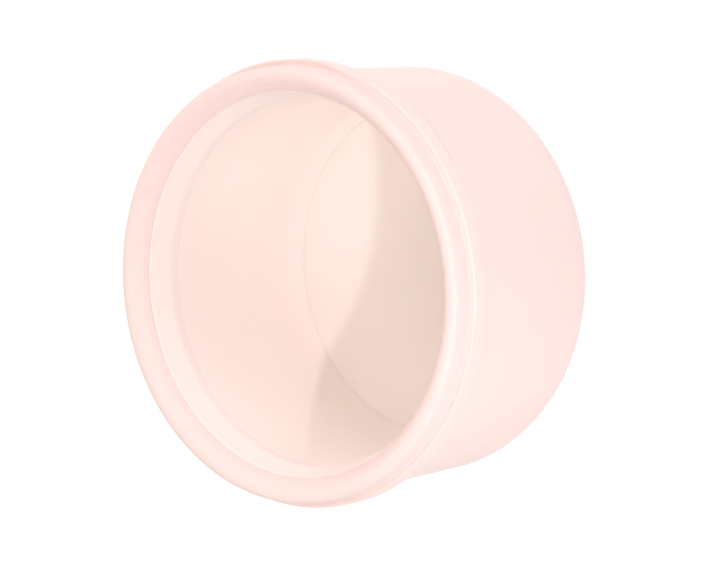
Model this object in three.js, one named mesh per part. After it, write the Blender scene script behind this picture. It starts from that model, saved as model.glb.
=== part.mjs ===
// Push-fit pipe cap for 110 mm pressure pipe: a thick-walled cup with a collar,
// a seal ring seated in the collar's counterbore and a retaining ring that closes
// the counterbore and makes the mouth.
// Millimetres. Origin at the centre of the closed end's flat outer face, +Z towards the mouth.
import * as THREE from 'three';
import { mergeVertices } from 'three/addons/utils/BufferGeometryUtils.js';

// ---- driving dimensions (mm) ----
const SEGMENTS = 72;            // facets round the axis
const GAP = 0.3;                // clearance kept between touching pieces

const HEIGHT = 77.1;            // closed end to mouth face
const COLLAR_R = 67.8;          // collar outer radius, the widest part
const COLLAR_TOP = 70.0;        // collar's front face
const COLLAR_BOTTOM = 64.3;     // collar's back edge
const COLLAR_EDGE = 0.6;        // rounding of the collar's edges
const BODY_R_TOP = 64.5;        // body radius just behind the collar
const BODY_R_BACK = 62.7;       // body radius where the end rounding starts
const END_ROUND = 15.0;         // rounding between body and closed end

const END_WALL = 6.0;           // thickness of the closed end
const BORE_R_FLOOR = 54.5;      // socket radius at the floor
const BORE_R_MOUTH = 55.9;      // socket radius under the seal
const FLOOR_FILLET = 2.4;       // fillet between floor and socket wall

const SEAT_R = 62.2;            // counterbore radius
const SEAT_BOTTOM = 61.5;       // counterbore shoulder

const RING_R = 65.8;            // retaining ring outer radius
const RING_EDGE = 0.9;          // rounding of its outer edge
const FACE_INNER_R = 62.9;      // inner radius of the flat mouth face
const MOUTH_R = 58.35;          // radius of the inner mouth edge
const MOUTH_EDGE_Z = 72.3;      // height of the inner mouth edge
const SPIGOT_INNER_R = 60.2;    // inside of the ring's spigot
const SPIGOT_BOTTOM = 66.0;     // lower end of the spigot

const SEAL_THROAT_Z = 65.3;     // where the seal's sloped face meets the socket radius

// ---- helpers ----
// Points of an arc in the (radius, height) plane.
function arc(cr, cz, radius, fromDeg, toDeg, steps) {
  const points = [];
  for (let i = 0; i <= steps; i++) {
    const a = THREE.MathUtils.degToRad(fromDeg + ((toDeg - fromDeg) * i) / steps);
    points.push([cr + radius * Math.cos(a), cz + radius * Math.sin(a)]);
  }
  return points;
}

// Solid of revolution about Z from a profile listed anticlockwise in (radius, height).
function revolve(profile) {
  const points = profile.map(([r, z]) => new THREE.Vector2(Math.max(r, 0), z));
  if (points[0].x > 1e-6) points.push(points[0].clone());
  let geometry = new THREE.LatheGeometry(points, SEGMENTS);
  geometry.deleteAttribute('normal');
  geometry.deleteAttribute('uv');
  geometry = mergeVertices(geometry, 1e-4);
  // The merge leaves collapsed triangles on the axis; drop them.
  const index = geometry.getIndex().array;
  const kept = [];
  for (let i = 0; i < index.length; i += 3) {
    const [a, b, c] = [index[i], index[i + 1], index[i + 2]];
    if (a !== b && b !== c && a !== c) kept.push(a, b, c);
  }
  geometry.setIndex(kept);
  geometry.rotateX(Math.PI / 2);
  geometry.computeVertexNormals();
  return geometry;
}

function piece(name, geometry, color, roughness) {
  const mesh = new THREE.Mesh(
    geometry,
    new THREE.MeshStandardMaterial({ color, roughness, metalness: 0 }),
  );
  mesh.name = name;
  return mesh;
}

const cap = new THREE.Group();

// ---- cap body: closed end, drafted wall, collar, counterbore, socket ----
const bodyProfile = [
  [0, 0],
  ...arc(BODY_R_BACK - END_ROUND, END_ROUND, END_ROUND, -90, 0, 8),
  [BODY_R_TOP, COLLAR_BOTTOM],
  ...arc(COLLAR_R - COLLAR_EDGE, COLLAR_BOTTOM + COLLAR_EDGE, COLLAR_EDGE, -90, 0, 2),
  ...arc(COLLAR_R - COLLAR_EDGE, COLLAR_TOP - COLLAR_EDGE, COLLAR_EDGE, 0, 90, 2),
  [SEAT_R, COLLAR_TOP],
  [SEAT_R, SEAT_BOTTOM],
  [BORE_R_MOUTH, SEAT_BOTTOM],
  ...arc(BORE_R_FLOOR - FLOOR_FILLET, END_WALL + FLOOR_FILLET, FLOOR_FILLET, 0, -90, 4),
  [0, END_WALL],
];
cap.add(piece('cap_body', revolve(bodyProfile), 0xfae6df, 0.38));

// ---- seal ring: heel in the counterbore, sloped face round the mouth of the socket ----
const sealOuter = SEAT_R - GAP;
const sealNeck = SPIGOT_INNER_R - GAP;
const sealBottom = SEAT_BOTTOM + GAP;
const sealTop = MOUTH_EDGE_Z - GAP;
const sealProfile = [
  [BORE_R_MOUTH + 0.3, sealBottom],
  [sealOuter, sealBottom],
  [sealOuter, SPIGOT_BOTTOM - GAP],
  [sealNeck, SPIGOT_BOTTOM - GAP],
  [sealNeck, sealTop - 0.3],
  [sealNeck - 0.3, sealTop],
  [MOUTH_R - 0.1, sealTop],
  [BORE_R_MOUTH + 0.25, SEAL_THROAT_Z + 0.6],
  [BORE_R_MOUTH, SEAL_THROAT_Z - 0.4],
];
cap.add(piece('seal_ring', revolve(sealProfile), 0xfbe7e2, 0.5));

// ---- retaining ring: mouth rim resting on the collar, spigot inside the counterbore ----
const ringSeat = COLLAR_TOP + GAP;
const spigotOuter = SEAT_R - GAP;
const ringProfile = [
  [SPIGOT_INNER_R, SPIGOT_BOTTOM],
  [spigotOuter - 0.4, SPIGOT_BOTTOM],
  [spigotOuter, SPIGOT_BOTTOM + 0.8],
  [spigotOuter, ringSeat],
  [RING_R, ringSeat],
  ...arc(RING_R - RING_EDGE, HEIGHT - RING_EDGE, RING_EDGE, 0, 90, 3),
  [FACE_INNER_R, HEIGHT],
  [61.2, 76.2],
  [59.4, 74.4],
  [MOUTH_R + 0.2, MOUTH_EDGE_Z + 0.5],
  [MOUTH_R, MOUTH_EDGE_Z],
  [SPIGOT_INNER_R, MOUTH_EDGE_Z],
];
cap.add(piece('retaining_ring', revolve(ringProfile), 0xfde9e4, 0.36));

export default cap;
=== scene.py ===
import math

import bmesh
import bpy
from mathutils import Matrix, Vector


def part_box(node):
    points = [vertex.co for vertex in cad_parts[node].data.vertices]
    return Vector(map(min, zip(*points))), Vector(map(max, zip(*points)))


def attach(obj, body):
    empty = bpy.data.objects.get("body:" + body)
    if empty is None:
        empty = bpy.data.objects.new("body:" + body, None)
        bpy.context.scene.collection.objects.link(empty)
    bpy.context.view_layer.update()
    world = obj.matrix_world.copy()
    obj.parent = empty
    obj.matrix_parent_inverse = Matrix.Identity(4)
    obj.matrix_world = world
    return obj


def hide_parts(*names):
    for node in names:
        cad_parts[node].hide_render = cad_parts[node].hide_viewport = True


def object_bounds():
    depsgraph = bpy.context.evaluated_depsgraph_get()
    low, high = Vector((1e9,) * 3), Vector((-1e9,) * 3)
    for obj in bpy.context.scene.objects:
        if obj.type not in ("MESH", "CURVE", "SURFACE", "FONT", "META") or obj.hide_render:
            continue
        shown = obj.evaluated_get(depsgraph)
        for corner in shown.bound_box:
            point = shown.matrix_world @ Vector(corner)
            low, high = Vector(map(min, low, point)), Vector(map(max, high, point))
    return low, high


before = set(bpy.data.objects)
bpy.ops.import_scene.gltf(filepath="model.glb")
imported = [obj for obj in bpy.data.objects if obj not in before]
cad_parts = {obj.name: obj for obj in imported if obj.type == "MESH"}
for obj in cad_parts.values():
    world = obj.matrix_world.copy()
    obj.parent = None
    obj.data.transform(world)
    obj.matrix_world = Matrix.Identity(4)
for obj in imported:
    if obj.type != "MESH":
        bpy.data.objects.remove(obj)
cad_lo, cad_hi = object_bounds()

MM = 0.001


# ---------------------------------------------------------------- geometry
def arc(cr, cz, radius, start, stop, steps):
    """Points of an arc in the (radius, height) plane, angles in degrees."""
    out = []
    for i in range(steps + 1):
        a = math.radians(start + (stop - start) * i / steps)
        out.append((cr + radius * math.cos(a), cz + radius * math.sin(a)))
    return out


def soften(points, radii, steps=4):
    """Rounds the listed corners of a closed (radius, height) profile: radii maps a point's index to a radius."""
    out = []
    n = len(points)
    for i, p in enumerate(points):
        r = radii.get(i, 0.0)
        if r <= 0:
            out.append(p)
            continue
        a, b, c = Vector(points[i - 1]), Vector(p), Vector(points[(i + 1) % n])
        u, v = (a - b).normalized(), (c - b).normalized()
        turn = math.acos(max(-1.0, min(1.0, u.dot(v))))
        reach = min(r / math.tan(turn / 2), 0.49 * (a - b).length, 0.49 * (c - b).length)
        r = reach * math.tan(turn / 2)
        centre = b + (u + v).normalized() * (r / math.sin(turn / 2))
        s, e = b + u * reach - centre, b + v * reach - centre
        a0 = math.atan2(s.y, s.x)
        sweep = (math.atan2(e.y, e.x) - a0 + math.pi) % (2 * math.pi) - math.pi
        for k in range(steps + 1):
            t = a0 + sweep * k / steps
            out.append((centre.x + r * math.cos(t), centre.y + r * math.sin(t)))
    return out


def split(points, longest):
    """Adds points so that no side of the profile is longer than this."""
    out = []
    for p, q in zip(points, points[1:] + points[:1]):
        n = max(1, math.ceil(math.dist(p, q) / longest))
        on_axis = abs(p[0]) < 1e-9 and abs(q[0]) < 1e-9
        out += [(p[0] + (q[0] - p[0]) * k / n, p[1] + (q[1] - p[1]) * k / n) for k in range(1 if on_axis else n)]
    return out


def turned(name, profile, segments, open_on_axis=False):
    """A closed body turned round Z from a (radius, height) profile in millimetres, anticlockwise."""
    bm = bmesh.new()
    rings = []
    for r, z in profile:
        if r < 1e-6:
            rings.append([bm.verts.new((0, 0, z * MM))])
        else:
            rings.append([
                bm.verts.new((r * MM * math.cos(2 * math.pi * k / segments), r * MM * math.sin(2 * math.pi * k / segments), z * MM))
                for k in range(segments)
            ])
    pairs = list(zip(rings, rings[1:] + rings[:1]))
    if open_on_axis:
        pairs = pairs[:-1]
    for lower, upper in pairs:
        for k in range(segments):
            m = (k + 1) % segments
            if len(lower) == 1:
                bm.faces.new((lower[0], upper[m], upper[k]))
            elif len(upper) == 1:
                bm.faces.new((lower[k], lower[m], upper[0]))
            else:
                bm.faces.new((lower[k], lower[m], upper[m], upper[k]))
    bmesh.ops.recalc_face_normals(bm, faces=bm.faces)
    mesh = bpy.data.meshes.new(name)
    bm.to_mesh(mesh)
    bm.free()
    for p in mesh.polygons:
        p.use_smooth = True
    mesh.set_sharp_from_angle(angle=math.radians(40))
    piece = bpy.data.objects.new(name, mesh)
    bpy.context.scene.collection.objects.link(piece)
    return piece


# ---------------------------------------------------------------- sizes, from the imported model
body_lo, body_hi = (Vector(c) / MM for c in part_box("cap_body"))
ring_lo, ring_hi = (Vector(c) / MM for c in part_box("retaining_ring"))
seal_lo, seal_hi = (Vector(c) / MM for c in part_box("seal_ring"))

COLLAR_R, COLLAR_TOP = body_hi.x, body_hi.z
RING_R, RING_BOTTOM, HEIGHT = ring_hi.x, ring_lo.z, ring_hi.z
SEAL_R, SEAL_BOTTOM, SEAL_TOP = seal_hi.x, seal_lo.z, seal_hi.z
COLLAR_BOTTOM = COLLAR_TOP - 5.7
GAP = 0.3
SEAM = 0.04                                  # what is left open between two pieces where they meet at a visible joint
SEAT_R, SEAT_BOTTOM = SEAL_R + GAP, SEAL_BOTTOM - GAP
BODY_R_TOP, BODY_R_BACK, END_ROUND = 64.5, 62.7, 15.0
END_WALL, BORE_R_FLOOR, BORE_R_MOUTH, FLOOR_FILLET = 6.0, 54.5, 55.9, 1.3
GROOVE_R, GROOVE_DEPTH = 52.7, 0.5
MOUTH_R, MOUTH_EDGE_Z = 58.35, SEAL_TOP + GAP
SPIGOT_R, SPIGOT_INNER_R = SEAT_R - GAP, 60.2
RING_SEAT = COLLAR_TOP + SEAM
FLARE = 0.8                                  # the retaining ring's foot flares out over the collar's face
SEGMENTS = 360

# ---- cap body
body = [
    (0.0, 0.45),
    (1.7, 0.45),
    (2.1, 0.0),
]
body = soften(body + [(3.0, 0.0)], {1: 0.15, 2: 0.2}, 3)[:-1]
body += arc(BODY_R_BACK - END_ROUND, END_ROUND, END_ROUND, -90, 0, 36)
wall = [
    body[-1],
    (BODY_R_TOP, COLLAR_BOTTOM),
    (COLLAR_R, COLLAR_BOTTOM),
    (COLLAR_R, COLLAR_TOP),
    (SEAT_R, COLLAR_TOP),
    (SEAT_R, SEAT_BOTTOM),
    (BORE_R_MOUTH, SEAT_BOTTOM),
    (BORE_R_FLOOR, END_WALL + 4.0),
]
wall = soften(wall, {1: 1.6, 2: 0.7, 3: 0.6, 4: 0.4, 5: 0.3, 6: 0.15}, 6)
body += wall[1:-1]
groove = [                                   # the wall's foot thickens into a shallow relief groove round the floor
    wall[-1],
    (BORE_R_FLOOR, END_WALL + 4.0),
    (BORE_R_FLOOR - FLOOR_FILLET, END_WALL),
    (GROOVE_R + 0.40, END_WALL - GROOVE_DEPTH),
    (GROOVE_R, END_WALL - GROOVE_DEPTH),
    (GROOVE_R - 0.90, END_WALL),
    (GROOVE_R - 3.0, END_WALL),
]
body += soften(groove[1:], {1: 0.3, 2: 0.15, 3: 0.3, 4: 0.5}, 4)
body += [(0.0, END_WALL)]
cap_body = turned("cap_body_shell", split(body, 3.0), SEGMENTS, open_on_axis=True)

# ---- seal ring
seal = [
    (BORE_R_MOUTH - 0.02, SEAT_BOTTOM + SEAM),
    (SEAL_R, SEAT_BOTTOM + SEAM),
    (SEAL_R, RING_BOTTOM - GAP),
    (SPIGOT_INNER_R - GAP, RING_BOTTOM - GAP),
    (SPIGOT_INNER_R - GAP, MOUTH_EDGE_Z - SEAM),
    (MOUTH_R - 0.1, MOUTH_EDGE_Z - SEAM),
    (BORE_R_MOUTH + 0.25, 65.9),
    (BORE_R_MOUTH, 64.9),
]
seal = soften(seal, {0: 0.12, 1: 0.4, 2: 0.4, 3: 0.3, 4: 0.4, 5: 0.6, 6: 3.0, 7: 3.0}, 6)
seal_ring = turned("seal_ring_lip", split(seal, 1.2), SEGMENTS)

# ---- retaining ring
ring = [
    (SPIGOT_INNER_R, RING_BOTTOM),
    (SPIGOT_R - 0.4, RING_BOTTOM),
    (SPIGOT_R, RING_BOTTOM + 0.8),
    (SPIGOT_R, RING_SEAT),
    (RING_R + FLARE + 0.05, RING_SEAT),
    (RING_R + FLARE + 0.05, RING_SEAT + 0.08),
    *arc(RING_R + FLARE, RING_SEAT + 0.1 + FLARE, FLARE, -90, -180, 8),
    (RING_R, HEIGHT),
    (62.9, HEIGHT),
    (61.2, 76.2),
    (59.4, 74.4),
    (MOUTH_R + 0.2, MOUTH_EDGE_Z + 0.5),
    (MOUTH_R, MOUTH_EDGE_Z),
    (SPIGOT_INNER_R, MOUTH_EDGE_Z),
]
ring = soften(ring, {0: 0.2, 1: 0.2, 2: 0.5, 3: 0.2, 15: 1.9, 16: 3.0, 17: 3.0, 18: 3.0, 19: 0.4, 20: 0.3, 21: 0.2}, 6)
retaining_ring = turned("retaining_ring_rim", split(ring, 1.2), SEGMENTS)


# ---------------------------------------------------------------- materials
def plastic(name, colour, deep, roughness, spread, bump, scale, subsurface=0.0, specular=0.5, painted_light_socket_tints=None):
    """Moulded plastic: a slow tint drift, fine flow streaks along the wall, uneven gloss and a faint skin texture.

    The last argument gives the pair of tints of the socket: painted light, lighter and less pink than the outside, to
    offset the shade and warm bounced light within the cup.
    """
    m = bpy.data.materials.new(name)
    m.use_nodes = True
    t = m.node_tree
    t.nodes.clear()
    n, link = t.nodes.new, t.links.new
    out = n("ShaderNodeOutputMaterial")
    bsdf = n("ShaderNodeBsdfPrincipled")
    link(bsdf.outputs["BSDF"], out.inputs["Surface"])
    bsdf.inputs["IOR"].default_value = 1.5
    if subsurface:
        bsdf.inputs["Subsurface Weight"].default_value = subsurface
        bsdf.inputs["Subsurface Radius"].default_value = (0.004, 0.002, 0.0015)
        bsdf.inputs["Subsurface Scale"].default_value = 1.0
    bsdf.inputs["Specular IOR Level"].default_value = specular

    where = n("ShaderNodeTexCoord")
    slow = n("ShaderNodeTexNoise")
    slow.inputs["Scale"].default_value = 16.0
    slow.inputs["Detail"].default_value = 3.0
    slow.inputs["Roughness"].default_value = 0.5
    link(where.outputs["Object"], slow.inputs["Vector"])

    # flow streaks: noise stretched along the wall
    stretch = n("ShaderNodeMapping")
    stretch.inputs["Scale"].default_value = (1.0, 1.0, 0.12)
    link(where.outputs["Object"], stretch.inputs["Vector"])
    streak = n("ShaderNodeTexNoise")
    streak.inputs["Scale"].default_value = 90.0
    streak.inputs["Detail"].default_value = 4.0
    link(stretch.outputs["Vector"], streak.inputs["Vector"])

    both = n("ShaderNodeMath")
    both.operation = "MULTIPLY_ADD"
    link(streak.outputs["Fac"], both.inputs[0])
    both.inputs[1].default_value = 0.35
    link(slow.outputs["Fac"], both.inputs[2])

    def ramp(low, high):
        tint = n("ShaderNodeValToRGB")
        tint.color_ramp.elements[0].position = 0.35
        tint.color_ramp.elements[0].color = (*low, 1)
        tint.color_ramp.elements[1].position = 1.0
        tint.color_ramp.elements[1].color = (*high, 1)
        link(both.outputs["Value"], tint.inputs["Fac"])
        return tint.outputs["Color"]

    def fade(value, start, end):
        """1 up to start, 0 from end on."""
        f = n("ShaderNodeMapRange")
        f.interpolation_type = "SMOOTHSTEP"
        for socket, v in (("From Min", start), ("From Max", end), ("To Min", 1.0), ("To Max", 0.0)):
            f.inputs[socket].default_value = v
        link(value, f.inputs["Value"])
        return f.outputs["Result"]

    # painted light: the socket's bore and floor are tinted lighter and less pink than the outside, offsetting the
    # shade and warm bounced light within the cup
    if painted_light_socket_tints:
        flat = n("ShaderNodeVectorMath")
        flat.operation = "MULTIPLY"
        flat.inputs[1].default_value = (1.0, 1.0, 0.0)
        link(where.outputs["Object"], flat.inputs[0])
        radius = n("ShaderNodeVectorMath")
        radius.operation = "LENGTH"
        link(flat.outputs["Vector"], radius.inputs[0])
        axes = n("ShaderNodeSeparateXYZ")
        link(where.outputs["Object"], axes.inputs["Vector"])
        # mask of the socket's bore and floor, where the painted lightening goes
        socket = n("ShaderNodeMath")
        socket.operation = "MULTIPLY"
        link(fade(radius.outputs["Value"], (BORE_R_MOUTH + 0.8) * MM, (BORE_R_MOUTH + 1.6) * MM), socket.inputs[0])
        link(fade(axes.outputs["Z"], (END_WALL - 2.0) * MM, (END_WALL - 3.0) * MM), socket.inputs[1])
        mix = n("ShaderNodeMix")
        mix.data_type = "RGBA"
        link(socket.outputs["Value"], mix.inputs["Factor"])
        link(ramp(deep, colour), mix.inputs["A"])
        link(ramp(painted_light_socket_tints[1], painted_light_socket_tints[0]), mix.inputs["B"])
        link(mix.outputs["Result"], bsdf.inputs["Base Color"])
    else:
        link(ramp(deep, colour), bsdf.inputs["Base Color"])

    fine = n("ShaderNodeTexNoise")
    fine.inputs["Scale"].default_value = scale
    fine.inputs["Detail"].default_value = 6.0
    fine.inputs["Roughness"].default_value = 0.6
    link(where.outputs["Object"], fine.inputs["Vector"])
    gloss = n("ShaderNodeMapRange")
    gloss.inputs["From Min"].default_value = 0.3
    gloss.inputs["From Max"].default_value = 0.7
    gloss.inputs["To Min"].default_value = roughness - spread
    gloss.inputs["To Max"].default_value = roughness + spread
    link(fine.outputs["Fac"], gloss.inputs["Value"])
    link(gloss.outputs["Result"], bsdf.inputs["Roughness"])

    skin = n("ShaderNodeBump")
    skin.inputs["Strength"].default_value = bump
    skin.inputs["Distance"].default_value = 0.0002
    link(fine.outputs["Fac"], skin.inputs["Height"])
    link(skin.outputs["Normal"], bsdf.inputs["Normal"])
    return m


# the cap's socket tints below are painted light: lighter and less pink within the cup, to offset its shade
cap_plastic = plastic(
    "cap_plastic", (0.93, 0.75, 0.72), (0.92, 0.735, 0.70), 0.44, 0.05, 0.12, 700.0, subsurface=0.08, specular=0.3,
    painted_light_socket_tints=((0.951, 0.877, 0.843), (0.941, 0.862, 0.825)),
)
ring_plastic = plastic("ring_plastic", (0.912, 0.752, 0.73), (0.902, 0.737, 0.715), 0.60, 0.05, 0.10, 700.0, subsurface=0.08, specular=0.12)
seal_rubber = plastic("seal_rubber", (0.945, 0.862, 0.842), (0.935, 0.847, 0.822), 0.50, 0.06, 0.20, 1400.0, subsurface=0.08)

for piece, material, node, slot in (
    (cap_body, cap_plastic, "cap_body", "cap_plastic"),
    (seal_ring, seal_rubber, "seal_ring", "seal_rubber"),
    (retaining_ring, ring_plastic, "retaining_ring", "ring_plastic"),
):
    piece.data.materials.append(material)
    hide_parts(node)
    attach(piece, "root")

# ---------------------------------------------------------------- floor
floor_mesh = bpy.data.meshes.new("floor")
bm = bmesh.new()
side = 20.0
corners = [bm.verts.new((x * side, y * side, cad_lo.z - 0.0002)) for x, y in ((-1, -1), (1, -1), (1, 1), (-1, 1))]
bm.faces.new(corners)
bm.to_mesh(floor_mesh)
bm.free()
floor = bpy.data.objects.new("floor", floor_mesh)
bpy.context.scene.collection.objects.link(floor)
fm = bpy.data.materials.new("floor_white")
fm.use_nodes = True
fb = fm.node_tree.nodes["Principled BSDF"]
fb.inputs["Base Color"].default_value = (0.18, 0.18, 0.18, 1)
fb.inputs["Roughness"].default_value = 0.9
fb.inputs["Specular IOR Level"].default_value = 0.1
fb.inputs["Emission Color"].default_value = (0.99, 1.0, 1.0, 1)
fb.inputs["Emission Strength"].default_value = 0.88
floor.data.materials.append(fm)

# ---------------------------------------------------------------- light
world = bpy.data.worlds.new("studio")
bpy.context.scene.world = world
world.use_nodes = True
bg = world.node_tree.nodes["Background"]
bg.inputs["Color"].default_value = (1.0, 0.93, 0.81, 1)
bg.inputs["Strength"].default_value = 0.265


def lamp(name, direction, distance, size, power, colour=(1, 1, 1), size_y=None):
    """An area light on the line from the cap's middle along direction, facing it."""
    data = bpy.data.lights.new(name, "AREA")
    data.shape = "ELLIPSE" if size_y else "DISK"
    data.size = size
    if size_y:
        data.size_y = size_y
    data.energy = power
    data.color = colour
    o = bpy.data.objects.new(name, data)
    d = Vector(direction).normalized()
    o.location = Vector((0, 0, HEIGHT * MM / 2)) + d * distance
    o.rotation_mode = "QUATERNION"
    o.rotation_quaternion = d.to_track_quat("Z", "Y")
    o.visible_camera = False
    bpy.context.scene.collection.objects.link(o)
    return o


lamp("key", (-0.3035, -0.7285, 0.6145), 0.42, 0.0115, 0.55, (1.0, 0.87, 0.935))
lamp("front", (0.12, -0.61, 0.783), 1.5, 1.4, 5.55, (1.0, 0.965, 0.93))
lamp("axis", (0.0, 0.15, 1.0), 1.5, 1.2, 3.2, (1.0, 0.92, 0.84))
lamp("top", (0.87, -0.06, 0.47), 1.5, 1.2, 11.3, (1.0, 0.885, 0.89))
lamp("low", (-0.80, -0.09, 0.69), 1.5, 1.2, 6.75, (1.0, 0.975, 0.925))
lamp("back", (0.42, 0.80, 0.42), 1.5, 1.2, 3.0, (1.0, 0.96, 0.94))

# ---------------------------------------------------------------- camera
TILT, ROLL = math.radians(40.0), -0.134
SCALE = COLLAR_R * MM
mouth = Vector((-0.279, -0.043, 22.197)) * SCALE          # the collar's front in camera axes: right, down, away
axis = Vector((math.sin(TILT) * math.cos(ROLL), math.sin(TILT) * math.sin(ROLL), math.cos(TILT)))
end = mouth + axis * (COLLAR_TOP * MM + 0.5 * MM)
z_row = -axis
c = -end.normalized()
h = c - z_row * c.dot(z_row)
y_row = -h.normalized()
x_row = y_row.cross(z_row)
R = Matrix((x_row, y_row, z_row))
cam_data = bpy.data.cameras.new("camera")
cam_data.sensor_fit = "HORIZONTAL"
cam_data.sensor_width = 36.0
cam_data.lens = 5000.0 * 36.0 / 721.0
cam_data.clip_start, cam_data.clip_end = 0.05, 20.0
camera = bpy.data.objects.new("camera", cam_data)
right, up, back = R @ Vector((1, 0, 0)), R @ Vector((0, -1, 0)), R @ Vector((0, 0, -1))
m = Matrix((right, up, back)).transposed().to_4x4()
m.translation = -(R @ end)
camera.matrix_world = m
bpy.context.scene.collection.objects.link(camera)
bpy.context.scene.camera = camera

view = bpy.context.scene.view_settings
view.view_transform = "Standard"
view.look = "None"
view.exposure = 0.0
view.gamma = 1.0
